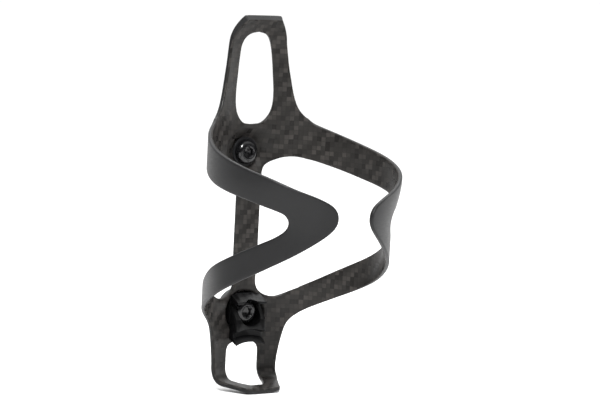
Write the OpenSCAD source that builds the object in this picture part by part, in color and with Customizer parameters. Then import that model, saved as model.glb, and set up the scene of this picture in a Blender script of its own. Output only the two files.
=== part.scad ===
// Water bottle cage: thin carbon moulding on a cylinder around the bottle, bumper block, two M5 bolts.
// Row frame: origin midway between the two bolts on the rear mounting face, +Z up along the bottle,
// +Y towards the frame tube, open front of the cage towards -Y. All sizes in millimetres.

/* [Mounting] */
// distance between the two bolts, the standard for bottle cages
bolt_pitch = 64; // [63:0.5:65]
// outer radius of the M5 shank beyond the mounting face
shank_r = 2.5; // [2.4:0.05:2.5]
// radius of the plain neck under the head
neck_r = 2.2; // [2.1:0.05:2.3]
// clearance hole radius in moulding, block and washer
hole_r = 2.75; // [2.65:0.05:2.9]
// radius of the mounting face of each rear boss
boss_r = 8.4; // [7.5:0.1:9]
// radius of the flat floor of the upper saucer
saucer_r = 6.4; // [6.1:0.1:7]
// laminate left under the bolt head
floor_t = 2.2; // [1.8:0.1:2.6]

/* [Moulding] */
// inner radius of the cage before a bottle spreads it
cage_r = 35.4; // [34.8:0.1:36]
// laminate thickness
wall = 1.8; // [1.4:0.1:2]
// distance from the mounting face to the bottle axis
axis_d = 42.3; // [42:0.1:42.6]
// how far each arm closes in behind its nose
pinch = 1.5; // [0:0.1:2]
// how far the upper branch of each arm bows outward
bow = 1.9; // [0:0.1:2.2]
// how far the lower branch of each arm is drawn in near its root
tuck = 0.9; // [0:0.1:1.2]
// angle from the back at which each arm starts to flex
root_a = 38; // [37:0.5:39]
// slit left between arm and back plate at the flex line
slit = 0.3; // [0.2:0.05:0.4]

/* [Top hook] */
// height where the loop starts to roll forward
hook_z = 74; // [72:0.5:76]
// radius of the roll
hook_r = 17; // [15:0.5:19]
// how far the roll turns
hook_a = 45; // [38:1:48]
// thickness of the rolled lip
hook_t = 3.4; // [2.6:0.1:3.8]

/* [Foot] */
// height where the legs start to bend forward
foot_z = -54; // [-55:0.5:-53]
// inside radius of the bend
foot_r = 5; // [4:0.5:6]
// downward slope of the shelf
foot_a = 7; // [4:1:12]
// distance of the shelf's front edge from the mounting face
foot_y = 24.2; // [22:0.2:27]

/* [Bumper block] */
// width of the block
block_w = 14; // [12:0.2:15]
// how far the block stands out from the moulding
block_d = 6.4; // [5.6:0.1:7]
// rise of the block's lower edge in the middle
arch = 1.2; // [0.6:0.1:2]
// radius of the hollow that faces the bottle
hollow_r = 35; // [33:0.5:38]

/* [Bolts] */
// diameter of the button head
head_d = 10; // [9.4:0.1:10.4]
// height of the button head
head_h = 2.75; // [2.5:0.05:3]
// width across flats of the socket
hex_af = 4; // [3:0.5:4]
// depth of the socket
hex_h = 1.9; // [1.5:0.1:2.1]
// outer radius of the upper washer
washer_r = 5.9; // [5.6:0.1:6.1]
// thickness of the upper washer
washer_t = 0.8; // [0.6:0.1:1]
// shank length of the upper bolt
upper_l = 16; // [14:1:18]
// shank length of the lower bolt
lower_l = 20; // [18:1:22]

/* [Hidden] */
half = bolt_pitch / 2;
rm = cage_r + wall / 2;
ro = cage_r + wall;
y_in = -(axis_d - cage_r);
gap = 0.3;
slit_a = asin(slit / 2 / rm);
arch_r = (block_w * block_w / 4 + arch * arch) / 2 / arch;
pocket_y = y_in - 0.15;
carbon = [0.09, 0.09, 0.10];
plastic = [0.03, 0.03, 0.035];
steel = [0.06, 0.06, 0.065];

// smooth curve through a list of points, n steps per span, open or closed
function cat(a, b, c, d, t) = 0.5 * (2 * b + (c - a) * t + (2 * a - 5 * b + 4 * c - d) * t * t
                                     + (3 * b - a - 3 * c + d) * t * t * t);
function at(p, i) = p[min(max(i, 0), len(p) - 1)];
function curve(p, n) = concat([for (i = [0 : len(p) - 2], k = [0 : n - 1])
    cat(at(p, i - 1), p[i], p[i + 1], at(p, i + 2), k / n)], [p[len(p) - 1]]);
function flip(p) = [for (i = [len(p) - 1 : -1 : 0]) [-p[i][0], p[i][1]]];
function both(p) = concat(p, flip(p));
function ease(t) = let (u = min(max(t, 0), 1)) u * u * (3 - 2 * u);
function arc(cx, cz, r, a0, a1, n) = [for (i = [0 : n])
    [cx + r * cos(a0 + (a1 - a0) * i / n), cz + r * sin(a0 + (a1 - a0) * i / n)]];

// meridian of the moulding as distance from the bottle axis against height:
// rolled hook at the top, straight wall, bend and sloping shelf at the bottom
hook_c = rm - hook_r;
foot_c = cage_r - foot_r;
foot_e = axis_d - foot_y - 4;
foot_i = [foot_c + foot_r * sin(foot_a), foot_z - foot_r * cos(foot_a)];
foot_o = [foot_c + (foot_r + wall) * sin(foot_a), foot_z - (foot_r + wall) * cos(foot_a)];
meridian = concat(
    [for (i = [0 : 9]) let (k = i / 9, a = hook_a * k, h = wall / 2 + (hook_t - wall) / 2 * k)
        [hook_c + (hook_r + h) * cos(a), hook_z + (hook_r + h) * sin(a)]],
    [for (i = [9 : -1 : 0]) let (k = i / 9, a = hook_a * k, h = wall / 2 + (hook_t - wall) / 2 * k)
        [hook_c + (hook_r - h) * cos(a), hook_z + (hook_r - h) * sin(a)]],
    arc(foot_c, foot_z, foot_r, 0, -90 + foot_a, 8),
    [[foot_e, foot_i[1] - (foot_i[0] - foot_e) * tan(foot_a)],
     [foot_e, foot_o[1] - (foot_o[0] - foot_e) * tan(foot_a)]],
    arc(foot_c, foot_z, foot_r + wall, -90 + foot_a, 0, 8));

module moulding_shell() {
    translate([0, -axis_d, 0])
        rotate_extrude($fn = 180) polygon(meridian);
}

// half outlines seen from the front, right side, in x and z
edge_top = curve([[0, 91], [5.4, 89.2], [8.2, 86.2], [11.0, 82.8], [12.9, 79], [13.8, 74.5],
                  [14.7, 68], [15.6, 63], [17.0, 56], [18.5, 51.2], [20.5, 47.9], [24.4, 44.2], [29, 42.4]], 4);
edge_low = curve([[29, -28.6], [25.5, -30.8], [21.4, -33.4], [18.7, -36.6], [17.3, -40.8], [16.1, -47],
                  [15.4, -53], [15.3, -60]], 4);
edge_win = curve([[29, 28.4], [22.4, 30.0], [18.0, 30.6], [13.2, 29.9], [8.8, 27.8], [6.5, 25],
                  [5.7, 21], [5.6, 10], [5.6, -8], [5.4, -16.5], [5.3, -20.4], [6.6, -23.4], [10, -25.6],
                  [14.4, -25.8], [22.4, -22.0], [29, -18.6]], 4);
hole_top = curve([[0, 43.4], [4.2, 44.0], [7.2, 46.6], [8.9, 50.4], [9.3, 56], [8.7, 63.5], [7.9, 71],
                  [6.7, 76.4], [4.2, 79.4], [0, 80.6]], 4);
hole_low = curve([[0, -44.4], [5.2, -44.6], [7.5, -46.6], [7.8, -51], [7.8, -62]], 4);

module outline_front() {
    difference() {
        polygon(both(concat(edge_top, edge_low)));
        for (s = [-1, 1])
            scale([s, 1]) polygon(concat(edge_win, [[40, -18.4], [40, 28.4]]));
        polygon(both(hole_top));
        polygon(both(hole_low));
    }
}

// shelf seen from above, in x and distance forward of the mounting face
shelf_half = curve([[0, 24.2], [6.4, 24.1], [8.4, 23.2], [10, 20.2], [12.8, 15.2], [14.8, 11.4],
                    [15.3, 7], [15.3, -4]], 4);
open_half = curve([[0, 18.2], [2.8, 18.1], [4.4, 16.8], [6.5, 13.2], [7.6, 10.2], [7.8, 5],
                   [7.8, -5]], 4);

module outline_shelf() {
    k = foot_y / 24.2;
    scale([1, -k]) difference() {
        polygon(both(shelf_half));
        polygon(both(open_half));
    }
}

module along_y() {
    rotate([90, 0, 0]) translate([0, 0, -5]) linear_extrude(60) children();
}

// wedge between the two flex lines, half a slit short of each
module sector() {
    b = root_a - slit_a;
    translate([0, -axis_d, -90]) linear_extrude(190)
        polygon([[0, 0], [80 * sin(b), 80 * cos(b)], [0, 90], [-80 * sin(b), 80 * cos(b)]]);
}

module back_plate() {
    color(carbon) difference() {
        union() {
            intersection() {
                moulding_shell();
                union() {
                    intersection() {
                        along_y() outline_front();
                        sector();
                        translate([-60, -60, -55]) cube([120, 70, 160]);
                    }
                    translate([0, 0, -75]) linear_extrude(20) outline_shelf();
                }
            }
            for (s = [-1, 1]) intersection() {
                translate([0, 0, s * half]) rotate([90, 0, 0])
                    cylinder(h = axis_d - cage_r - 0.6, r1 = boss_r, r2 = boss_r + 2.2, $fn = 96);
                along_y() outline_front();
                translate([0, -axis_d, s * half - 12]) cylinder(h = 24, r = 60, $fn = 180);
            }
        }
        for (s = [-1, 1]) translate([0, 0, s * half]) rotate([90, 0, 0]) {
            translate([0, 0, -1]) cylinder(h = 20, r = hole_r, $fn = 64);
            translate([0, 0, floor_t]) cylinder(h = 8, r1 = s > 0 ? saucer_r : 6.4, r2 = s > 0 ? saucer_r + 7.2 : 10.4, $fn = 96);
        }
    }
}

// arm ribbon: angle and height of the outer edge, then of the inner edge, from the upper root
// round the nose to the lower root
ribbon = [
    [38, 46.2, 38, 29.9], [41, 44.7, 41, 29.6], [46, 43.3, 46, 28.9], [62, 40.0, 62, 26.3],
    [78, 37.0, 78, 23.7], [94, 34.3, 94, 21.6], [110, 31.5, 110, 19.5], [126, 28.4, 122, 17.4],
    [142, 24.5, 130.5, 15.8], [155, 21.6, 134.6, 14.7], [163.2, 19.0, 136.3, 13.5],
    [166.8, 16.5, 137.1, 12.5], [167.8, 13.7, 137.3, 11.5], [166.8, 11.1, 137.0, 10.5],
    [163.4, 8.4, 136.0, 9.2], [156, 4.8, 133.4, 7.6], [142, -0.7, 128.2, 5.5],
    [126, -6.1, 120, 3.0], [110, -11.2, 109, -0.3], [94, -16.3, 94, -4.7], [78, -21.0, 78, -9.4],
    [62, -25.3, 62, -14.2], [46, -29.8, 46, -19.3], [38, -32.5, 38, -21.8]];
// position across the ribbon and share of the full thickness there, giving soft edges
across = [[0, 0.4], [0.03, 0.8], [0.09, 1], [0.3, 1], [0.5, 1], [0.7, 1], [0.91, 1], [0.97, 0.8], [1, 0.4]];

function bump(a, c, w) = ease(1 - abs(a - c) / w);
function reach(a, z) = rm + bow * bump(a, 120, 62) * ease((z - 8) / 20)
    - pinch * bump(a, 133, 52) * ease((26 - z) / 22) - tuck * bump(a, 68, 30) * ease((-2 - z) / 14);
function ring(c) = let (m = len(across)) [for (j = [0 : 2 * m - 1])
    let (q = j < m ? across[j] : across[2 * m - 1 - j], s = j < m ? 1 : -1,
         a = c[0] + (c[2] - c[0]) * q[0], z = c[1] + (c[3] - c[1]) * q[0],
         b = a < root_a + 0.01 ? root_a + slit_a : a, r = reach(a, z) + s * wall / 2 * q[1])
    [r * sin(b), r * cos(b) - axis_d, z]];

module arm() {
    s = curve(ribbon, 5);
    n = len(s);
    w = 2 * len(across);
    pts = [for (c = s) each ring(c)];
    sides = [for (i = [0 : n - 2], j = [0 : w - 1]) let (k = (j + 1) % w)
        each [[i * w + j, i * w + k, (i + 1) * w + k], [i * w + j, (i + 1) * w + k, (i + 1) * w + j]]];
    start = [for (j = [0 : w / 2 - 2]) each [[j, w - 1 - j, w - 2 - j], [j, w - 2 - j, j + 1]]];
    last = [for (f = start) [f[0] + (n - 1) * w, f[2] + (n - 1) * w, f[1] + (n - 1) * w]];
    polyhedron(points = pts, faces = concat(sides, start, last));
}

module right_arm() {
    color(carbon) arm();
}

module left_arm() {
    color(carbon) mirror([1, 0, 0]) arm();
}

// side profile of the bumper block, distance out from the moulding against height, three teeth
function tooth(d, z) = [d * block_d / 6.4, z];
block_side = [[-1.5, -24.4], [0, -24.4], tooth(6.4, -27.6), tooth(6.4, -28.3), tooth(1.3, -28.9),
              tooth(5.7, -34.6), tooth(6.3, -39.5), tooth(3.7, -40.2), tooth(3.9, -42.2),
              tooth(6.7, -44.4), tooth(6.7, -45), [0, -42.3], [-1.5, -42.3]];

module bottle_bumper() {
    color(plastic) difference() {
        union() {
            difference() {
                translate([-block_w / 2, y_in, 32 - half]) rotate([90, 0, 90])
                    linear_extrude(block_w) polygon([for (p = block_side) [-p[0], p[1]]]);
                translate([0, 0, -45 - arch_r + arch]) rotate([90, 0, 0]) cylinder(h = 40, r = arch_r, $fn = 180);
                translate([0, -axis_d, -90]) difference() {
                    cylinder(h = 90, r = 70, $fn = 180);
                    translate([0, 0, -1]) cylinder(h = 92, r = cage_r - gap, $fn = 180);
                }
                translate([0, y_in - block_d + 0.7 - hollow_r, -90]) cylinder(h = 90, r = hollow_r, $fn = 180);
            }
            translate([0, 0, -half]) rotate([90, 0, 0]) intersection() {
                translate([0, 0, floor_t]) cylinder(h = 5.3, r1 = 6.1, r2 = 8.75, $fn = 96);
                translate([-block_w / 2, -10, 0]) cube([block_w, 17.6, 9]);
            }
        }
        translate([0, 0, -half]) rotate([90, 0, 0]) {
            translate([0, 0, -1]) cylinder(h = 20, r = hole_r, $fn = 64);
            translate([0, 0, -pocket_y]) cylinder(h = 12, r = head_d / 2 + 0.4, $fn = 96);
        }
    }
}

module upper_washer() {
    color(plastic) translate([0, -floor_t, half]) rotate([90, 0, 0]) difference() {
        union() {
            cylinder(h = washer_t - 0.2, r = washer_r, $fn = 96);
            translate([0, 0, washer_t - 0.2]) cylinder(h = 0.2, r1 = washer_r, r2 = washer_r - 0.2, $fn = 96);
        }
        translate([0, 0, -1]) cylinder(h = washer_t + 2, r = hole_r, $fn = 64);
    }
}

// button-head bolt, underside of the head at z = 0, head upwards, neck n long inside the parts it clamps
module bolt(l, n) {
    rim = 0.5;
    top_r = hex_af / 2 + 0.95;
    head = concat([[0, 0], [head_d / 2, 0], [head_d / 2, rim]],
                  [for (i = [1 : 7]) let (a = 90 * i / 8)
                      [top_r + (head_d / 2 - top_r) * cos(a), rim + (head_h - rim) * sin(a)]],
                  [[top_r, head_h], [0, head_h]]);
    difference() {
        union() {
            rotate_extrude($fn = 96) polygon(head);
            translate([0, 0, -n - 0.3]) cylinder(h = n + 0.4, r = neck_r, $fn = 64);
            translate([0, 0, -l + 0.6]) cylinder(h = l - 0.6 - n, r = shank_r, $fn = 64);
            translate([0, 0, -l]) cylinder(h = 0.6, r1 = shank_r - 0.6, r2 = shank_r, $fn = 64);
        }
        translate([0, 0, head_h - hex_h]) cylinder(h = hex_h + 1, r = hex_af / 2 / cos(30), $fn = 6);
        translate([0, 0, head_h - 0.35]) cylinder(h = 0.36, r1 = hex_af / 2 / cos(30) - 0.2,
                                                  r2 = hex_af / 2 / cos(30) + 0.35, $fn = 64);
    }
}

module upper_bolt() {
    color(steel) translate([0, -floor_t - washer_t, half]) rotate([90, 0, 0]) bolt(upper_l, floor_t + washer_t);
}

module lower_bolt() {
    color(steel) translate([0, pocket_y, -half]) rotate([90, 0, 0]) bolt(lower_l, -pocket_y);
}

back_plate();
left_arm();
right_arm();
bottle_bumper();
upper_washer();
upper_bolt();
lower_bolt();
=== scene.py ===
# Water bottle cage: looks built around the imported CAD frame. The scene is in metres, the sizes below in mm.
import math

import bmesh
import bpy
import numpy as np
from mathutils import Matrix, Vector
from mathutils.geometry import delaunay_2d_cdt


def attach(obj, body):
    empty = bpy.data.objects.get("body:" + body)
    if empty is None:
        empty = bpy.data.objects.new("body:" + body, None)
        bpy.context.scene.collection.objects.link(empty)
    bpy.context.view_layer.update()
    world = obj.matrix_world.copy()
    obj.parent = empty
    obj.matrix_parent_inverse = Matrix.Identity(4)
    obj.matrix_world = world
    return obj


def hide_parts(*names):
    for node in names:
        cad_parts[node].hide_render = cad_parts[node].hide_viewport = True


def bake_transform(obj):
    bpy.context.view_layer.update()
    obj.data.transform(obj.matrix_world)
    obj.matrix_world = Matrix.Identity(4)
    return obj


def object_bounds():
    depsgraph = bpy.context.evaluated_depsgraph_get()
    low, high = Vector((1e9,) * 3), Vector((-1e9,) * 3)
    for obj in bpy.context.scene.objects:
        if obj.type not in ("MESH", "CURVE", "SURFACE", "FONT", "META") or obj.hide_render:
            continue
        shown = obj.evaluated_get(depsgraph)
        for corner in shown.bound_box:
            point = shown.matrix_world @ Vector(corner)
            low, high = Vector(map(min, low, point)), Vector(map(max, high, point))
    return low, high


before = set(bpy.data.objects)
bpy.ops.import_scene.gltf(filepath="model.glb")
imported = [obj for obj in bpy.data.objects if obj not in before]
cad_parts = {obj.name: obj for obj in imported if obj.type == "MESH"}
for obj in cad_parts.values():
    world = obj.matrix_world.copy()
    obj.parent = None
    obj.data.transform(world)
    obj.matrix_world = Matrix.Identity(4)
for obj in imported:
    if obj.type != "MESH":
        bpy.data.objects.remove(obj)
cad_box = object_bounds()
MM = 0.001

# sizes shared with the CAD model
AXIS = 42.3
CAGE_R, WALL = 35.4, 1.8
RM = CAGE_R + WALL / 2
ROOT = 38.0
HOOK_Z, HOOK_R, HOOK_A, HOOK_T = 74.0, 17.0, 45.0, 3.4
FOOT_Z, FOOT_R, FOOT_A, FOOT_Y = -54.0, 5.0, 7.0, 24.2
FLOOR_T, BOSS_R, HALF = 2.2, 8.4, 32.0
HOLE_R, SAUCER_R = 2.75, 6.4
BOLT_Z = (HALF, -HALF)
# depth gained per millimetre of radius in the two saucers and on the bosses behind
UPPER_DISH, LOWER_DISH, BOSS_SLOPE = 1.111, 2.0, 2.86


def catmull(points, n):
    p = np.array(points, float)
    out = []
    for i in range(len(p) - 1):
        a, b, c, d = p[max(i - 1, 0)], p[i], p[i + 1], p[min(i + 2, len(p) - 1)]
        for k in range(n):
            t = k / n
            out.append(0.5 * (2 * b + (c - a) * t + (2 * a - 5 * b + 4 * c - d) * t * t
                              + (3 * b - a - 3 * c + d) * t ** 3))
    out.append(p[-1])
    return np.array(out)


def ease(t):
    t = np.clip(t, 0, 1)
    return t * t * (3 - 2 * t)


# ---------------------------------------------------------------- carbon moulding
HOOK_C, FOOT_C, FOOT_M = RM - HOOK_R, CAGE_R - FOOT_R, FOOT_R + WALL / 2
HOOK_END = HOOK_Z + HOOK_R * math.radians(HOOK_A)
BEND = math.radians(90 - FOOT_A)
FOOT_END = FOOT_Z - FOOT_M * BEND


def meridian(m):
    """Centre line of the laminate through the bottle axis: radius, height, normal, half thickness."""
    m = np.asarray(m, float)
    a = np.clip((m - HOOK_Z) / HOOK_R, 0, None)
    b = np.clip((FOOT_Z - m) / FOOT_M, 0, BEND)
    past = np.clip(FOOT_END - m, 0, None)
    r = np.where(m > HOOK_Z, HOOK_C + HOOK_R * np.cos(a), RM)
    z = np.where(m > HOOK_Z, HOOK_Z + HOOK_R * np.sin(a), m)
    low = m < FOOT_Z
    r = np.where(low, FOOT_C + FOOT_M * np.cos(b) - past * math.sin(BEND), r)
    z = np.where(low, FOOT_Z - FOOT_M * np.sin(b) - past * math.cos(BEND), z)
    nr = np.where(low, np.cos(b), np.cos(a))
    nz = np.where(low, -np.sin(b), np.sin(a))
    k = np.clip((m - HOOK_Z) / (HOOK_END - HOOK_Z), 0, 1)
    return r, z, nr, nz, WALL / 2 + (HOOK_T - WALL) / 2 * k


def bump(a, c, w):
    return ease(1 - np.abs(a - c) / w)


def reach(a, z):
    """Radius of the arms' centre line: bowed outward in the upper branch, drawn in behind the nose."""
    a = np.abs(a)
    return (1.9 * bump(a, 120, 62) * ease((z - 8) / 20) - 1.5 * bump(a, 133, 52) * ease((26 - z) / 22)
            - 0.9 * bump(a, 68, 30) * ease((-2 - z) / 14))


def front_to_domain(x, z):
    """A point seen from the front, as angle and distance along the meridian."""
    m = np.where(z > HOOK_Z, HOOK_Z + HOOK_R * np.arcsin(np.clip((z - HOOK_Z) / HOOK_R, 0, 1)), z)
    r = meridian(m)[0]
    return np.degrees(np.arcsin(np.clip(x / r, -1, 1))), m


def plan_to_domain(x, y):
    """A point of the shelf seen from above, y forward of the mounting face."""
    y = y * FOOT_Y / 24.2
    r = np.hypot(x, AXIS - y)
    a = np.arccos(np.clip((r - FOOT_C) / FOOT_M, -1, 1))
    m = FOOT_Z - FOOT_M * np.minimum(a, BEND)
    r1 = FOOT_C + FOOT_M * math.cos(BEND)
    m = np.where(r < r1, FOOT_END - (r1 - r) / math.sin(BEND), m)
    return np.degrees(np.arctan2(x, AXIS - y)), m


EDGE_TOP = [(0, 91), (5.4, 89.2), (8.2, 86.2), (11.0, 82.8), (12.9, 79), (13.8, 74.5), (14.7, 68),
            (15.6, 63), (17.0, 56), (18.5, 51.2), (20.5, 47.9), (24.4, 44.2), (29, 42.4)]
EDGE_LOW = [(29, -28.6), (25.5, -30.8), (21.4, -33.4), (18.7, -36.6), (17.3, -40.8), (16.1, -47),
            (15.4, -53), (15.3, -60)]
EDGE_WIN = [(29, 28.4), (22.4, 30.0), (18.0, 30.6), (13.2, 29.9), (8.8, 27.8), (6.5, 25), (5.7, 21),
            (5.6, 10), (5.6, -8), (5.4, -16.5), (5.3, -20.4), (6.6, -23.4), (10, -25.6), (14.4, -25.8),
            (22.4, -22.0), (29, -18.6)]
HOLE_TOP = [(0, 43.4), (4.2, 44.0), (7.2, 46.6), (8.9, 50.4), (9.3, 56), (8.7, 63.5), (7.9, 71),
            (6.7, 76.4), (4.2, 79.4), (0, 80.6)]
HOLE_LOW = [(0, -44.4), (5.2, -44.6), (7.5, -46.6), (7.8, -51), (7.8, -62)]
SHELF = [(0, 24.2), (6.4, 24.1), (8.4, 23.2), (10, 20.2), (12.8, 15.2), (14.8, 11.4), (15.3, 7), (15.3, -4)]
SHELF_HOLE = [(0, 18.2), (2.8, 18.1), (4.4, 16.8), (6.5, 13.2), (7.6, 10.2), (7.8, 5), (7.8, -5)]
RIBBON = [
    (38, 46.2, 38, 29.9), (41, 44.7, 41, 29.6), (46, 43.3, 46, 28.9), (62, 40.0, 62, 26.3),
    (78, 37.0, 78, 23.7), (94, 34.3, 94, 21.6), (110, 31.5, 110, 19.5), (126, 28.4, 122, 17.4),
    (142, 24.5, 130.5, 15.8), (155, 21.6, 134.6, 14.7), (163.2, 19.0, 136.3, 13.5),
    (166.8, 16.5, 137.1, 12.5), (167.8, 13.7, 137.3, 11.5), (166.8, 11.1, 137.0, 10.5),
    (163.4, 8.4, 136.0, 9.2), (156, 4.8, 133.4, 7.6), (142, -0.7, 128.2, 5.5),
    (126, -6.1, 120, 3.0), (110, -11.2, 109, -0.3), (94, -16.3, 94, -4.7), (78, -21.0, 78, -9.4),
    (62, -25.3, 62, -14.2), (46, -29.8, 46, -19.3), (38, -32.5, 38, -21.8)]


def to_uv(phi, m):
    return np.stack([np.radians(phi) * RM, np.asarray(m, float)], 1)


def resample(p, step):
    """Evenly spaced points along a closed line."""
    q = np.vstack([p, p[:1]])
    d = np.hypot(*np.diff(q, axis=0).T)
    keep = np.concatenate([[True], d > 1e-6])
    q = q[keep]
    s = np.concatenate([[0], np.cumsum(np.hypot(*np.diff(q, axis=0).T))])
    n = max(8, int(round(s[-1] / step)))
    t = np.linspace(0, s[-1], n + 1)
    out = np.stack([np.interp(t, s, q[:, 0]), np.interp(t, s, q[:, 1])], 1)
    return out[:-1]


def right_side():
    """Half loops of the moulding in the unrolled plane: outer edge from top to shelf, and the window."""
    cut = math.sin(math.radians(ROOT)) * RM
    rib = catmull(RIBBON, 12)
    top = catmull(EDGE_TOP, 12)
    ztop = HOOK_Z + HOOK_R * math.sin(math.radians(HOOK_A))
    top = top[(top[:, 1] < ztop) & (top[:, 0] < cut - 0.4)]
    phi, m = front_to_domain(top[:, 0], top[:, 1])
    low = catmull(EDGE_LOW, 12)
    low = low[(low[:, 0] < cut - 0.4) & (low[:, 1] > FOOT_Z)]
    phi2, m2 = front_to_domain(low[:, 0], low[:, 1])
    shelf = catmull(SHELF, 12)[::-1]
    r = np.hypot(shelf[:, 0], AXIS - shelf[:, 1] * FOOT_Y / 24.2)
    shelf = shelf[r < RM - 0.25]
    phi3, m3 = plan_to_domain(shelf[:, 0], shelf[:, 1])
    first = np.array([[0.0, HOOK_END], [phi[0] * 0.35, HOOK_END], [phi[0] * 0.8, HOOK_END]])
    outer = np.vstack([first, np.stack([phi, m], 1), rib[:, :2], np.stack([phi2, m2], 1),
                       np.stack([phi3, m3], 1)])
    win = catmull(EDGE_WIN, 12)
    win = win[win[:, 0] < cut - 0.4]
    phi4, m4 = front_to_domain(win[:, 0], win[:, 1])
    window = np.vstack([np.stack([phi4, m4], 1), rib[::-1, 2:]])
    hole = catmull(HOLE_TOP, 12)
    phi5, m5 = front_to_domain(hole[:, 0], hole[:, 1])
    leg = catmull(HOLE_LOW, 12)
    leg = leg[leg[:, 1] > FOOT_Z]
    phi6, m6 = front_to_domain(leg[:, 0], leg[:, 1])
    gap = catmull(SHELF_HOLE, 12)[::-1]
    r = np.hypot(gap[:, 0], AXIS - gap[:, 1] * FOOT_Y / 24.2)
    gap = gap[r < RM - 0.25]
    phi7, m7 = plan_to_domain(gap[:, 0], gap[:, 1])
    low_hole = np.vstack([np.stack([phi6, m6], 1), np.stack([phi7, m7], 1)])
    return outer, window, np.stack([phi5, m5], 1), low_hole


def mirrored(p):
    q = p[::-1] * [-1, 1]
    return np.vstack([p, q[1:-1]]) if abs(q[0, 0]) < 1e-6 and abs(q[-1, 0]) < 1e-6 else np.vstack([p, q])


def loops_of_moulding():
    """Outer edge, both windows, the two holes and the two bolt holes, in the unrolled plane."""
    outer, window, hole, low_hole = right_side()
    loops = []
    for p in (mirrored(outer), window, window[::-1] * [-1, 1], mirrored(hole), mirrored(low_hole)):
        loops.append(to_uv(p[:, 0], p[:, 1]))
    for z in BOLT_Z:
        a = np.linspace(0, 2 * math.pi, 33)[:-1]
        x = HOLE_R * np.cos(a)
        loops.append(to_uv(np.degrees(np.arcsin(x / RM)), z + HOLE_R * np.sin(a)))
    return loops


def area(p):
    q = np.roll(p, -1, 0)
    return 0.5 * np.sum(p[:, 0] * q[:, 1] - q[:, 0] * p[:, 1])


def inward(p):
    """Unit normals of a closed line that point into the material (the line runs with material on its left)."""
    d = np.roll(p, -1, 0) - np.roll(p, 1, 0)
    d /= np.maximum(np.hypot(d[:, 0], d[:, 1]), 1e-9)[:, None]
    return np.stack([-d[:, 1], d[:, 0]], 1)


def inside(points, loops):
    x, y = points[:, 0][:, None], points[:, 1][:, None]
    count = np.zeros(len(points), int)
    for p in loops:
        q = np.roll(p, -1, 0)
        for k in range(0, len(p), 400):
            a, b = p[k:k + 400], q[k:k + 400]
            cross = ((a[:, 1] > y) != (b[:, 1] > y))
            t = (y - a[:, 1]) / np.where(b[:, 1] == a[:, 1], 1e-12, b[:, 1] - a[:, 1])
            count += (cross & (x < a[:, 0] + t * (b[:, 0] - a[:, 0]))).sum(1)
    return count % 2 == 1


def surfaces(p, deep):
    """Inner and outer surface points of the unrolled plane; deep is how far the rounded edge sinks."""
    phi, m = p[:, 0] / RM, p[:, 1]
    r, z, nr, nz, h = meridian(m)
    off = np.where(np.abs(np.degrees(phi)) > ROOT, reach(np.degrees(phi), m), 0)
    out = []
    for s in (-1, 1):
        q = s * (h - deep)
        rr, zz = r + off + nr * q, z + nz * q
        out.append(np.stack([rr * np.sin(phi), rr * np.cos(phi) - AXIS, zz], 1))
    inner, outer = out
    for zb in BOLT_Z:
        near = (np.abs(np.degrees(phi)) < 30) & (np.abs(m - zb) < 13.5)
        for q, dish in ((inner, True), (outer, False)):
            rho = np.hypot(q[:, 0], q[:, 2] - zb)
            if dish:
                y = -FLOOR_T - (UPPER_DISH if zb > 0 else LOWER_DISH) * np.clip(rho - SAUCER_R, 0, None) - deep
            else:
                y = -BOSS_SLOPE * np.clip(rho - BOSS_R, 0, None) - deep
            k = 1.6 if dish and zb > 0 else 0.3
            top = np.maximum(q[:, 1], y) + np.maximum(k - np.abs(q[:, 1] - y), 0) ** 2 / (4 * k)
            ok = near & (rho < 13)
            q[:, 1] = np.where(ok, np.minimum(top, 0 if not dish else 9), q[:, 1])
    return inner, outer


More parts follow.
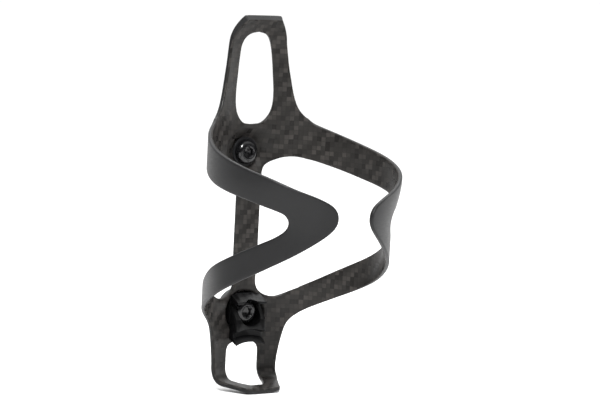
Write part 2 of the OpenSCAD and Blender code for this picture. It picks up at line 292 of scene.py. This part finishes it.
def moulding_mesh():
    """Points, edge depths, triangles, rim strips and cut edges of the whole moulding in the unrolled plane."""
    raw = loops_of_moulding()
    step, cut = 0.8, math.radians(ROOT) * RM
    loops, marks = [], []
    for i, q in enumerate(raw):
        q = resample(q, step) if i < 5 else q
        if (area(q) < 0) == (i == 0):
            q = q[::-1]
        marks.append([])
        for s in (-1, 1) if i < 3 else ():
            d = q[:, 0] - s * (cut + 1e-6)
            for k in np.nonzero(d * np.roll(d, -1) < 0)[0]:
                j = (k + 1) % len(q)
                t = d[k] / (d[k] - d[j])
                hit = q[k] + (q[j] - q[k]) * t
                k = k if t < 0.5 else j
                q[k] = hit
                marks[-1].append((s, int(k)))
        loops.append(q)
    edge_r = 0.6
    turn = np.radians([0, 30, 60, 90])
    inset, sink = edge_r * (1 - np.cos(turn)), edge_r * (1 - np.sin(turn))
    pts, deep, strips, last, barrier = [], [], [], [], set()
    base = 0
    for i, q in enumerate(loops):
        n = inward(q)
        rings = []
        scale = 0.5 if i >= 5 else 1.0
        for d, s in zip(inset, sink):
            pts.append(q + n * d * scale)
            deep.append(np.full(len(q), s * scale))
            rings.append(np.arange(base, base + len(q)))
            base += len(q)
        for a, b in zip(rings[:-1], rings[1:]):
            strips.append((a, b))
            barrier |= {(int(min(a[k], b[k])), int(max(a[k], b[k]))) for _, k in marks[i]}
        last.append(rings[-1])
    rim = [np.vstack(pts)[r] for r in last]
    chains = []
    P0 = np.vstack(pts)
    for s in (-1, 1):
        ends = sorted((int(last[i][k]) for i in range(3) for t, k in marks[i] if t == s),
                      key=lambda v: P0[v, 1])
        assert len(ends) == 4, ends
        for a, b in ((ends[0], ends[1]), (ends[2], ends[3])):
            n = max(2, int(np.hypot(*(P0[b] - P0[a])) / 0.8))
            line = P0[a] + (P0[b] - P0[a]) * (np.arange(1, n) / n)[:, None]
            pts.append(line)
            deep.append(np.zeros(len(line)))
            chain = [a] + list(range(base, base + len(line))) + [b]
            base += len(line)
            chains.append(chain)
            barrier |= {(min(p, q), max(p, q)) for p, q in zip(chain[:-1], chain[1:])}
    edge_pts = np.vstack(rim + [np.vstack(pts)[c[1:-1]] for c in chains])
    # inner points: a loose grid, and circles round each bolt where the dish and boss change slope
    gx = np.arange(-108, 108, 1.5)
    gy = np.arange(-92, 90, 1.3)
    X, Y = np.meshgrid(gx, gy)
    X = X + 0.75 * (np.arange(len(gy)) % 2)[:, None]
    grid = np.stack([X.ravel(), Y.ravel()], 1)
    for zb in BOLT_Z:
        grid = grid[np.hypot(grid[:, 0], grid[:, 1] - zb) > 12.8]
    ring_pts = []
    for zb in BOLT_Z:
        for rho in (3.6, 4.4, 5.3, 6.0, 6.25, 6.4, 6.6, 6.9, 7.3, 7.7, 8.1, 8.4, 8.65, 8.9, 9.2, 9.5,
                    9.8, 10.1, 10.4, 10.8, 11.3, 11.9, 12.5):
            k = int(24 + rho * 4)
            a = np.arange(k) / k * 2 * math.pi + rho
            x = rho * np.cos(a)
            ring_pts.append(to_uv(np.degrees(np.arcsin(x / RM)), zb + rho * np.sin(a)))
    extra = np.vstack([grid] + ring_pts)
    extra = extra[inside(extra, rim)]
    keep = np.ones(len(extra), bool)
    for k in range(0, len(edge_pts), 500):
        d = np.hypot(extra[:, 0][:, None] - edge_pts[k:k + 500, 0],
                     extra[:, 1][:, None] - edge_pts[k:k + 500, 1])
        keep &= d.min(1) > 0.55
    extra = extra[keep]
    pts.append(extra)
    deep.append(np.zeros(len(extra)))
    P, D = np.vstack(pts), np.concatenate(deep)
    use = np.concatenate(last + [np.array(c[1:-1]) for c in chains] + [np.arange(base, base + len(extra))])
    back = {int(v): k for k, v in enumerate(use)}
    edges = []
    for r in last:
        edges += [(back[int(a)], back[int(b)]) for a, b in zip(r, np.roll(r, -1))]
    for c in chains:
        edges += [(back[a], back[b]) for a, b in zip(c[:-1], c[1:])]
    out = delaunay_2d_cdt([Vector(v) for v in P[use]], edges, [], 0, 1e-5, True)
    verts, faces, origin = out[0], out[2], out[3]
    assert len(verts) == len(use), (len(verts), len(use))
    order = [use[o[0]] for o in origin]
    tris = np.array([[order[k] for k in f] for f in faces])
    mid = P[tris].mean(1)
    tris = tris[inside(mid, rim)]
    quads = []
    for a, b in strips:
        quads += [(int(a[k]), int(a[(k + 1) % len(a)]), int(b[(k + 1) % len(a)]), int(b[k]))
                  for k in range(len(a))]
    return P, D, tris, quads, barrier


def split_moulding(P, tris, quads, barrier):
    """Three sets of plane faces: left arm, centre and right arm, parted along the marked edges."""
    flat = [tuple(int(k) for k in f) for f in tris] + [tuple(f) for f in quads]
    flat = [f if area(P[list(f)]) > 0 else f[::-1] for f in flat]
    at = {}
    for i, f in enumerate(flat):
        for a, b in zip(f, f[1:] + f[:1]):
            at.setdefault((min(a, b), max(a, b)), []).append(i)
    near = [[] for _ in flat]
    for e, fs in at.items():
        if e not in barrier and len(fs) == 2:
            near[fs[0]].append(fs[1])
            near[fs[1]].append(fs[0])
    part = [-1] * len(flat)
    groups = []
    for s in range(len(flat)):
        if part[s] >= 0:
            continue
        part[s], todo, mine = len(groups), [s], []
        while todo:
            k = todo.pop()
            mine.append(k)
            for j in near[k]:
                if part[j] < 0:
                    part[j] = part[s]
                    todo.append(j)
        groups.append([flat[k] for k in mine])
    assert len(groups) == 3, [len(g) for g in groups]
    return sorted(groups, key=lambda g: np.mean([P[list(f), 0].mean() for f in g]))


def shell(name, P, plane_faces, inner, outer, n_in, n_out):
    """A closed laminate piece from its faces in the unrolled plane, with the whole moulding's normals."""
    used = sorted({k for f in plane_faces for k in f})
    new = {k: i for i, k in enumerate(used)}
    n = len(used)
    V = np.vstack([inner[used], outer[used]]) * MM
    sides = {(a, b): True for f in plane_faces for a, b in zip(f, f[1:] + f[:1])}
    rim = [(a, b) for a, b in sides if (b, a) not in sides]
    faces, slot, normal = [], [], []
    for f in plane_faces:
        g = tuple(new[k] for k in f)
        faces.append(tuple(k + n for k in g[::-1]))
        slot.append(1)
        normal += [n_out[k] for k in f[::-1]]
        faces.append(g)
        slot.append(0)
        normal += [n_in[k] for k in f]
    for a, b in rim:
        faces.append((new[a] + n, new[b] + n, new[b], new[a]))
        slot.append(1)
        p = [outer[a], outer[b], inner[b], inner[a]]
        w = np.cross(p[1] - p[0], p[3] - p[0])
        w /= max(np.linalg.norm(w), 1e-9)
        normal += [w] * 4
    me = bpy.data.meshes.new(name)
    me.from_pydata([tuple(v) for v in V], [], faces)
    ob = bpy.data.objects.new(name, me)
    bpy.context.scene.collection.objects.link(ob)
    uv = me.uv_layers.new(name="sheet")
    plane = np.array([P[used[v.vertex_index % n]] for v in me.loops]) * MM
    uv.data.foreach_set("uv", plane.astype(np.float32).ravel())
    me.polygons.foreach_set("material_index", slot)
    me.polygons.foreach_set("use_smooth", [True] * len(faces))
    me.normals_split_custom_set([tuple(v) for v in normal])
    me.update()
    return ob


def vertex_normals(pts, flat, facing_axis):
    """Area-weighted normals of one skin of the moulding, pointing out of the laminate."""
    N = np.zeros_like(pts)
    for f in flat:
        p = pts[list(f)]
        w = np.cross(p[1] - p[0], p[2] - p[0])
        if len(f) == 4:
            w = w + np.cross(p[2] - p[0], p[3] - p[0])
        for k in f:
            N[k] += w
    N /= np.maximum(np.linalg.norm(N, axis=1), 1e-12)[:, None]
    return N if facing_axis else -N


def carbon_parts(mats):
    P, D, tris, quads, barrier = moulding_mesh()
    inner, outer = surfaces(P, D)
    groups = split_moulding(P, tris, quads, barrier)
    flat = [f for g in groups for f in g]
    n_in = vertex_normals(inner, flat, True)
    n_out = vertex_normals(outer, flat, False)
    out = []
    for name, g in zip(("carbon_left_arm", "carbon_moulding", "carbon_right_arm"), groups):
        ob = shell(name, P, g, inner, outer, n_in, n_out)
        for m in mats:
            ob.data.materials.append(m)
        out.append(ob)
    return out


# ---------------------------------------------------------------- turned pieces
def lathe(name, rings, n, centre, cap_low, cap_high):
    """Closed piece from rings of n points, each a function of the angle giving radius and depth along -Y."""
    bm = bmesh.new()
    loops = []
    for ring in rings:
        loops.append([bm.verts.new(((centre[0] + r * math.cos(t)) * MM, (centre[1] - h) * MM,
                                    (centre[2] + r * math.sin(t)) * MM))
                      for t in (2 * math.pi * k / n for k in range(n)) for r, h in [ring(t)]])
    for a, b in zip(loops[:-1], loops[1:]):
        for k in range(n):
            j = (k + 1) % n
            bm.faces.new((a[k], a[j], b[j], b[k]))
    if cap_low:
        v = bm.verts.new((centre[0] * MM, (centre[1] - cap_low[0]) * MM, centre[2] * MM))
        for k in range(n):
            bm.faces.new((loops[0][(k + 1) % n], loops[0][k], v))
    if cap_high:
        v = bm.verts.new((centre[0] * MM, (centre[1] - cap_high[0]) * MM, centre[2] * MM))
        for k in range(n):
            bm.faces.new((loops[-1][k], loops[-1][(k + 1) % n], v))
    if not cap_low and not cap_high:
        a, b = loops[-1], loops[0]
        for k in range(n):
            j = (k + 1) % n
            bm.faces.new((a[k], a[j], b[j], b[k]))
    bmesh.ops.recalc_face_normals(bm, faces=bm.faces)
    me = bpy.data.meshes.new(name)
    bm.to_mesh(me)
    bm.free()
    ob = bpy.data.objects.new(name, me)
    bpy.context.scene.collection.objects.link(ob)
    return ob


def sharpen(ob, angle):
    ob.data.polygons.foreach_set("use_smooth", [True] * len(ob.data.polygons))
    ob.data.set_sharp_from_angle(angle=math.radians(angle))
    return ob


def circle(r, h):
    return lambda t: (r, h)


def bolt(name, under, z, length, neck, mat):
    """M5 button-head bolt with a rolled thread, a plain neck and a 4 mm socket."""
    n, pitch, root, crest = 72, 0.8, 2.12, 2.48
    rings = []
    start = -length
    steps = int((length - neck - 0.3) / (pitch / 6))
    for i in range(steps + 1):
        h = start + 0.001 + (length - neck - 0.3) * i / steps
        lead = min(1.0, (h - start) / 0.9)
        fade = min(1.0, max(0.0, (-neck - 0.35 - h) / 0.7))

        def thread(t, h=h, lead=lead, fade=fade):
            w = (h / pitch - t / (2 * math.pi)) % 1.0
            k = min(1.0, max(0.0, (abs(w - 0.5) * 2 - 0.12) / 0.74))
            r = root + (crest - root) * k * fade
            return min(r, 1.75 + 0.72 * lead), h
        rings.append(thread)
    rings += [circle(root, -neck - 0.25), circle(2.2, -neck - 0.05), circle(2.2, -0.35),
              circle(2.25, -0.12), circle(2.4, 0.0)]
    r, top = 5.0, 2.7
    rings += [circle(3.2, 0), circle(4.4, 0), circle(r - 0.12, 0), circle(r - 0.03, 0.04),
              circle(r, 0.13), circle(r, 0.4), circle(r - 0.01, 0.5)]
    for i in range(1, 15):
        a = math.radians(90 * i / 15)
        rings.append(circle(top + (r - top) * math.cos(a), 0.5 + 2.25 * math.sin(a)))
    rings += [circle(top, 2.75), circle(2.56, 2.73)]

    def hexagon(af, h, mix=1.0):
        def ring(t):
            s = (t + math.pi / 6) % (math.pi / 3) - math.pi / 6
            flat = af / 2 / math.cos(s)
            return flat * mix + (1 - mix) * af / 2 / math.cos(math.pi / 6), h
        return ring
    rings += [hexagon(4.3, 2.62, 0.0), hexagon(4.15, 2.45, 0.4), hexagon(4.02, 2.34), hexagon(4.0, 2.2),
              hexagon(4.0, 1.1), hexagon(3.9, 0.9), circle(1.7, 0.86), circle(1.0, 0.6)]
    ob = lathe(name, rings, n, (0, under, z), (start,), (0.45,))
    sharpen(ob, 42)
    ob.data.materials.append(mat)
    return ob


def washer(name, z, mat):
    prof = [(2.75, 0.12), (2.85, 0), (5.75, 0), (5.87, 0.06), (5.9, 0.18), (5.9, 0.55), (5.86, 0.68), (5.74, 0.78),
            (5.6, 0.8), (3.0, 0.8), (2.82, 0.76), (2.75, 0.66)]
    ob = lathe(name, [circle(r, h) for r, h in prof], 96, (0, -FLOOR_T, z), None, None)
    sharpen(ob, 50)
    ob.data.materials.append(mat)
    return ob


# ---------------------------------------------------------------- bumper block
Y_IN, POCKET_Y, BLOCK_W, ARCH = -6.9, -7.05, 14.0, 1.2
BLOCK_SIDE = [(-1.5, -24.4), (0, -24.4), (6.4, -27.6), (6.4, -28.3), (1.3, -28.9), (5.7, -34.6), (6.3, -39.5),
              (3.7, -40.2), (3.9, -42.2), (6.7, -44.4), (6.7, -45), (0, -42.3), (-1.5, -42.3)]


def cylinder_z(name, r, x, y, z0, z1, n=256):
    bm = bmesh.new()
    bmesh.ops.create_cone(bm, cap_ends=True, segments=n, radius1=r * MM, radius2=r * MM, depth=(z1 - z0) * MM,
                          matrix=Matrix.Translation((x * MM, y * MM, (z0 + z1) / 2 * MM)))
    return keep(name, bm)


def cone_y(name, r1, r2, y0, y1, z, n=96):
    """A cone along -Y from depth y0 (radius r1) to y1 (radius r2)."""
    bm = bmesh.new()
    turn = Matrix.Translation((0, (y0 + y1) / 2 * MM, z * MM)) @ Matrix.Rotation(math.radians(90), 4, 'X')
    bmesh.ops.create_cone(bm, cap_ends=True, segments=n, radius1=r1 * MM, radius2=r2 * MM,
                          depth=abs(y1 - y0) * MM, matrix=turn)
    return keep(name, bm)


def keep(name, bm):
    bmesh.ops.recalc_face_normals(bm, faces=bm.faces)
    me = bpy.data.meshes.new(name)
    bm.to_mesh(me)
    bm.free()
    ob = bpy.data.objects.new(name, me)
    bpy.context.scene.collection.objects.link(ob)
    return ob


def combine(ob, tool, how):
    m = ob.modifiers.new("b", 'BOOLEAN')
    m.operation, m.solver, m.object = how, 'EXACT', tool
    apply_all(ob)
    bpy.data.objects.remove(tool, do_unlink=True)


def apply_all(ob):
    dg = bpy.context.evaluated_depsgraph_get()
    me = bpy.data.meshes.new_from_object(ob.evaluated_get(dg))
    ob.modifiers.clear()
    old = ob.data
    ob.data = me
    bpy.data.meshes.remove(old)


def bumper_block(name, mat):
    bm = bmesh.new()
    w = BLOCK_W / 2
    rows = [[bm.verts.new((t * w * MM, (Y_IN - d) * MM, (z + (ARCH * (1 - t * t) if 6 <= k <= 10 else 0)) * MM))
             for k, (d, z) in enumerate(BLOCK_SIDE)] for t in np.linspace(-1, 1, 15)]
    bm.faces.new(rows[0])
    bm.faces.new(rows[-1][::-1])
    for a, b in zip(rows[:-1], rows[1:]):
        for k in range(len(a)):
            j = (k + 1) % len(a)
            bm.faces.new((a[k], a[j], b[j], b[k]))
    ob = keep(name, bm)
    bpy.context.view_layer.update()
    combine(ob, cylinder_z("t", CAGE_R - 0.3, 0, -AXIS, -60, -10, 720), 'INTERSECT')
    combine(ob, cylinder_z("t", 35.0, 0, Y_IN - 6.4 + 0.7 - 35.0, -60, -10, 720), 'DIFFERENCE')
    plug = cone_y("t2", 6.12, 8.7, -FLOOR_T - 0.02, -7.45, -HALF)
    box = bmesh.new()
    bmesh.ops.create_cube(box, size=1.0, matrix=Matrix.Translation((0, -5 * MM, -32.2 * MM))
                          @ Matrix.Diagonal((13.96 * MM, 20 * MM, 15.5 * MM, 1)))
    combine(plug, keep("t3", box), 'INTERSECT')
    combine(ob, plug, 'UNION')
    combine(ob, cone_y("t", 5.4, 5.4, POCKET_Y + 0.03, -20, -HALF), 'DIFFERENCE')
    combine(ob, cone_y("t", 2.75, 2.75, 0, -20, -HALF, 64), 'DIFFERENCE')
    m = ob.modifiers.new("w", 'WELD')
    m.merge_threshold = 0.00002
    m = ob.modifiers.new("e", 'BEVEL')
    m.width, m.segments, m.limit_method, m.angle_limit = 0.28 * MM, 3, 'ANGLE', math.radians(28)
    m.harden_normals, m.miter_outer, m.use_clamp_overlap = True, 'MITER_ARC', True
    apply_all(ob)
    sharpen(ob, 40)
    ob.data.materials.append(mat)
    return ob


# ---------------------------------------------------------------- materials
class Nodes:
    """Short hand for building a node tree."""

    def __init__(self, name):
        self.mat = bpy.data.materials.new(name)
        self.mat.use_nodes = True
        self.tree = self.mat.node_tree
        self.bsdf = next(n for n in self.tree.nodes if n.type == 'BSDF_PRINCIPLED')

    def add(self, kind, settings=None, **inputs):
        n = self.tree.nodes.new(kind)
        for k, v in (settings or {}).items():
            setattr(n, k, v)
        for k, v in inputs.items():
            s = n.inputs[int(k[1:])] if k[0] == "i" and k[1:].isdigit() else n.inputs[k.replace("_", " ")]
            if hasattr(v, "is_output"):
                self.tree.links.new(v, s)
            else:
                s.default_value = v
        return n

    def math(self, op, a, b=0.0):
        return self.add('ShaderNodeMath', {"operation": op}, i0=a, i1=b).outputs[0]

    def sum(self, *terms):
        """Weighted sum of outputs, each given with its weight."""
        out = self.math('MULTIPLY', *terms[0])
        for term in terms[1:]:
            out = self.math('ADD', out, self.math('MULTIPLY', *term))
        return out

    def noise(self, where, scale, detail, stretch=None):
        if stretch:
            where = self.add('ShaderNodeVectorMath', {"operation": 'MULTIPLY'}, i0=where, i1=stretch).outputs[0]
        return self.add('ShaderNodeTexNoise', None, Vector=where, Scale=scale, Detail=detail).outputs["Fac"]

    def bump(self, strength, distance, height):
        self.link(self.add('ShaderNodeBump', None, Strength=strength, Distance=distance,
                           Height=height).outputs[0], "Normal")

    def ramp(self, fac, stops):
        n = self.add('ShaderNodeValToRGB', None, i0=fac)
        els = n.color_ramp.elements
        while len(els) < len(stops):
            els.new(0.5)
        for e, (p, c) in zip(els, stops):
            e.position, e.color = p, (*c, 1)
        return n.outputs[0]

    def remap(self, v, a, b, c, d):
        return self.add('ShaderNodeMapRange', None, i0=v, i1=a, i2=b, i3=c, i4=d).outputs[0]

    def link(self, out, socket):
        self.tree.links.new(out, self.bsdf.inputs[socket])

    def set(self, **kw):
        for k, v in kw.items():
            self.bsdf.inputs[k.replace("_", " ")].default_value = v


def woven_carbon():
    """2 mm twill of tows under a satin clear coat, each square with its own tone and fibre direction."""
    m = Nodes("woven_carbon")
    uv = m.add('ShaderNodeUVMap', {"uv_map": "sheet"}).outputs[0]
    tow = 1.9 * MM
    sc = m.add('ShaderNodeVectorMath', {"operation": 'SCALE'}, i0=uv, i3=1 / tow).outputs[0]
    warp = m.add('ShaderNodeTexNoise', None, Vector=uv, Scale=90.0, Detail=1.0)
    off = m.add('ShaderNodeVectorMath', {"operation": 'MULTIPLY_ADD'}, i0=warp.outputs["Color"],
                i1=(0.5, 0.5, 0), i2=sc).outputs[0]
    x, y, _ = m.add('ShaderNodeSeparateXYZ', None, i0=off).outputs
    fx, fy = m.math('FLOOR', x), m.math('FLOOR', y)
    parity = m.math('LESS_THAN', m.math('FLOORED_MODULO', m.math('SUBTRACT', fx, fy), 4.0), 2.0)
    cell = m.add('ShaderNodeCombineXYZ', None, i0=fx, i1=fy).outputs[0]
    rnd = m.add('ShaderNodeTexWhiteNoise', {"noise_dimensions": '2D'}, Vector=cell).outputs[0]
    ux, uy = m.math('FRACT', x), m.math('FRACT', y)
    crown_x = m.math('PINGPONG', m.math('MULTIPLY', ux, 2.0), 1.0)
    crown_y = m.math('PINGPONG', m.math('MULTIPLY', uy, 2.0), 1.0)
    mix = m.add('ShaderNodeMix', None, i0=parity, i2=crown_x, i3=crown_y).outputs[0]
    gap = m.remap(m.math('MINIMUM', crown_x, crown_y), 0.0, 0.22, 0.0, 1.0)
    fib_a = m.noise(off, 1.0, 2.0, (26, 1.2, 1))
    fib_b = m.noise(off, 1.0, 2.0, (1.2, 26, 1))
    fibre = m.add('ShaderNodeMix', None, i0=parity, i2=fib_a, i3=fib_b).outputs[0]
    cloud = m.noise(uv, 60.0, 3.0)
    tone = m.sum((parity, 0.20), (rnd, 0.24), (fibre, 0.22), (cloud, 0.32))
    tone = m.math('MULTIPLY', tone, m.remap(gap, 0.0, 1.0, 0.75, 1.0))
    m.link(m.ramp(tone, [(0.15, (0.009, 0.0084, 0.0080)), (0.5, (0.020, 0.0187, 0.0175)),
                         (0.85, (0.048, 0.0435, 0.0405))]), "Base Color")
    rough = m.sum((rnd, 0.10), (parity, 0.08))
    m.link(m.math('ADD', m.math('MULTIPLY', rough, 1.3), 0.24), "Roughness")
    m.bump(0.25, 0.01 * MM, m.math('MULTIPLY', m.sum((mix, 0.7), (fibre, 0.25)), gap))
    m.set(Specular_IOR_Level=0.10, Coat_Weight=0.03, Coat_Roughness=0.3)
    return m.mat


def satin_carbon():
    """The moulding's outer skin: satin, with faint lengthwise grain, cloudy resin and a painted highlight that
    pales the edges.
    """
    m = Nodes("satin_carbon")
    uv = m.add('ShaderNodeUVMap', {"uv_map": "sheet"}).outputs[0]
    obj = m.add('ShaderNodeTexCoord').outputs["Object"]
    grain = m.noise(uv, 1.0, 3.0, (220, 2600, 1))
    cloud = m.noise(obj, 70.0, 4.0)
    speck = m.noise(obj, 2600.0, 2.0)
    edge = m.add('ShaderNodeNewGeometry').outputs["Pointiness"]
    # edges lightened where Pointiness is high: a painted highlight along the edges
    pale_edge = m.remap(edge, 0.52, 0.60, 0.0, 0.30)
    tone = m.math('ADD', m.sum((grain, 0.35), (cloud, 0.45), (speck, 0.2)), pale_edge)
    m.link(m.ramp(tone, [(0.25, (0.0035, 0.0035, 0.0038)), (0.65, (0.0070, 0.0070, 0.0075)),
                         (1.0, (0.020, 0.020, 0.021))]), "Base Color")
    m.link(m.remap(m.sum((grain, 0.6), (speck, 0.4)), 0.3, 0.7, 0.36, 0.50), "Roughness")
    m.bump(0.25, 0.03 * MM, m.sum((speck, 0.7), (grain, 0.3)))
    m.set(Specular_IOR_Level=0.22, Coat_Weight=0.03, Coat_Roughness=0.35)
    return m.mat


def moulded_plastic(name, low, high, rough):
    m = Nodes(name)
    obj = m.add('ShaderNodeTexCoord').outputs["Object"]
    cloud = m.noise(obj, 160.0, 4.0)
    spark = m.add('ShaderNodeTexVoronoi', None, Vector=obj, Scale=4200.0).outputs["Distance"]
    m.link(m.ramp(m.sum((cloud, 0.7), (spark, 0.35)), [(0.2, low), (0.8, high)]), "Base Color")
    m.link(m.remap(cloud, 0.3, 0.7, rough - 0.05, rough + 0.08), "Roughness")
    m.bump(0.3, 0.04 * MM, spark)
    m.set(Specular_IOR_Level=0.14)
    return m.mat


def black_steel():
    m = Nodes("black_oxide_steel")
    obj = m.add('ShaderNodeTexCoord').outputs["Object"]
    cloud = m.noise(obj, 420.0, 5.0)
    fine = m.noise(obj, 5200.0, 2.0)
    edge = m.add('ShaderNodeNewGeometry').outputs["Pointiness"]
    pale_edge = m.remap(edge, 0.53, 0.62, 0.0, 0.5)
    m.link(m.ramp(m.math('ADD', m.math('MULTIPLY', cloud, 0.6), pale_edge),
                  [(0.2, (0.004, 0.004, 0.0045)), (0.6, (0.010, 0.010, 0.011)),
                   (1.0, (0.06, 0.06, 0.063))]), "Base Color")
    m.link(m.remap(cloud, 0.3, 0.7, 0.14, 0.26), "Roughness")
    m.bump(0.12, 0.02 * MM, fine)
    m.set(Metallic=0.15, Specular_IOR_Level=0.5)
    return m.mat


def paper():
    m = Nodes("pale_floor")
    obj = m.add('ShaderNodeTexCoord').outputs["Object"]
    cloud = m.noise(obj, 3.0, 2.0)
    m.link(m.ramp(cloud, [(0.0, (0.88, 0.88, 0.88)), (1.0, (0.92, 0.92, 0.92))]), "Base Color")
    m.set(Roughness=0.9, Specular_IOR_Level=0.1)
    return m.mat


# ---------------------------------------------------------------- camera and studio
def place_camera():
    """Camera fitted to the view: angles in degrees, distance and shifts in millimetres."""
    az, el, roll = math.radians(-35.94), math.radians(6.059), math.radians(2.938)
    dist, shift_x, shift_z = 1055.3, -2.319, -14.983
    back = Vector((math.sin(az) * math.cos(el), -math.cos(az) * math.cos(el), math.sin(el)))
    right = Vector((math.cos(az), math.sin(az), 0))
    up = back.cross(right)
    at = Vector((0, -38, 0)) + back * dist - right * shift_x - up * shift_z
    r2 = right * math.cos(roll) + up * math.sin(roll)
    u2 = up * math.cos(roll) - right * math.sin(roll)
    cam = bpy.data.cameras.new("camera")
    cam.sensor_width, cam.lens = 36.0, 36.0 * 2699 / 600
    cam.clip_start, cam.clip_end = 0.05, 20.0
    ob = bpy.data.objects.new("camera", cam)
    bpy.context.scene.collection.objects.link(ob)
    ob.matrix_world = Matrix(((r2.x, u2.x, back.x, at.x * MM), (r2.y, u2.y, back.y, at.y * MM),
                              (r2.z, u2.z, back.z, at.z * MM), (0, 0, 0, 1)))
    bpy.context.scene.camera = ob
    return back, right


def area_light(name, pos, target, size, power):
    light = bpy.data.lights.new(name, 'AREA')
    light.shape, light.size, light.size_y, light.energy = 'RECTANGLE', size[0], size[1], power
    ob = bpy.data.objects.new(name, light)
    bpy.context.scene.collection.objects.link(ob)
    ob.location = pos
    ob.rotation_euler = (Vector(target) - Vector(pos)).to_track_quat('-Z', 'Y').to_euler()
    return ob


def studio(back, right):
    world = bpy.data.worlds.new("studio")
    bpy.context.scene.world = world
    world.use_nodes = True
    bg = world.node_tree.nodes["Background"]
    bg.inputs[0].default_value = (1, 1, 1, 1)
    flat = Vector((back.x, back.y, 0)).normalized()
    tree = world.node_tree
    where = tree.nodes.new('ShaderNodeTexCoord').outputs["Generated"]
    dot = tree.nodes.new('ShaderNodeVectorMath')
    dot.operation = 'DOT_PRODUCT'
    tree.links.new(where, dot.inputs[0])
    dot.inputs[1].default_value = (-0.45 * flat.x, -0.45 * flat.y, 1.0)
    level = tree.nodes.new('ShaderNodeMapRange')
    level.interpolation_type = 'SMOOTHSTEP'
    for k, v in enumerate((-0.15, 1.05, 0.01, 1.62)):
        level.inputs[k + 1].default_value = v
    tree.links.new(dot.outputs["Value"], level.inputs[0])
    tree.links.new(level.outputs[0], bg.inputs[1])
    bpy.context.scene.view_settings.view_transform = 'Standard'
    bm = bmesh.new()
    low = cad_box[0][2] - 0.0004
    bmesh.ops.create_grid(bm, x_segments=24, y_segments=24, size=15.0)
    for v in bm.verts:
        v.co.z = low
    floor = keep("pale_floor", bm)
    floor.data.materials.append(paper())
    c = Vector((0, -0.038, 0.01))
    area_light("key", c + flat * 0.72 + right * 0.05 + Vector((0, 0, 0.62)), c, (0.18, 0.18), 11.5)
    area_light("second", c + flat * 0.50 - right * 0.70 + Vector((0, 0, 0.42)), c, (0.14, 0.14), 0.6)
    area_light("top", c + Vector((0, 0, 0.8)) - flat * 0.25, c, (0.5, 0.4), 5.0)
    area_light("rim", c - flat * 0.3 + right * 0.7 + Vector((0, 0, 0.1)), c, (0.3, 0.6), 1.5)


back, right = place_camera()
studio(back, right)
skins = [woven_carbon(), satin_carbon()]
left, middle, rightarm = carbon_parts(skins)
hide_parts("back_plate")
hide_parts("left_arm")
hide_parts("right_arm")
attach(middle, "moulding")
for ob, body, s in ((left, "left_arm_body", -1), (rightarm, "right_arm_body", 1)):
    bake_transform(ob)

plastic = moulded_plastic("glossy_black_plastic", (0.0012, 0.0012, 0.0013), (0.003, 0.003, 0.0033), 0.34)
nylon = moulded_plastic("washer_plastic", (0.005, 0.005, 0.0055), (0.012, 0.012, 0.013), 0.42)
steel = black_steel()
block = bumper_block("bumper_block", plastic)
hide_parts("bottle_bumper")
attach(block, "bumper_body")
ring = washer("nylon_washer", HALF, nylon)
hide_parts("upper_washer")
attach(ring, "washer_body")
top_bolt = bolt("button_bolt_upper", -3.0, HALF, 16, 3.0, steel)
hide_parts("upper_bolt")
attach(top_bolt, "upper_bolt_body")
low_bolt = bolt("button_bolt_lower", POCKET_Y, -HALF, 20, -POCKET_Y, steel)
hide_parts("lower_bolt")
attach(low_bolt, "lower_bolt_body")
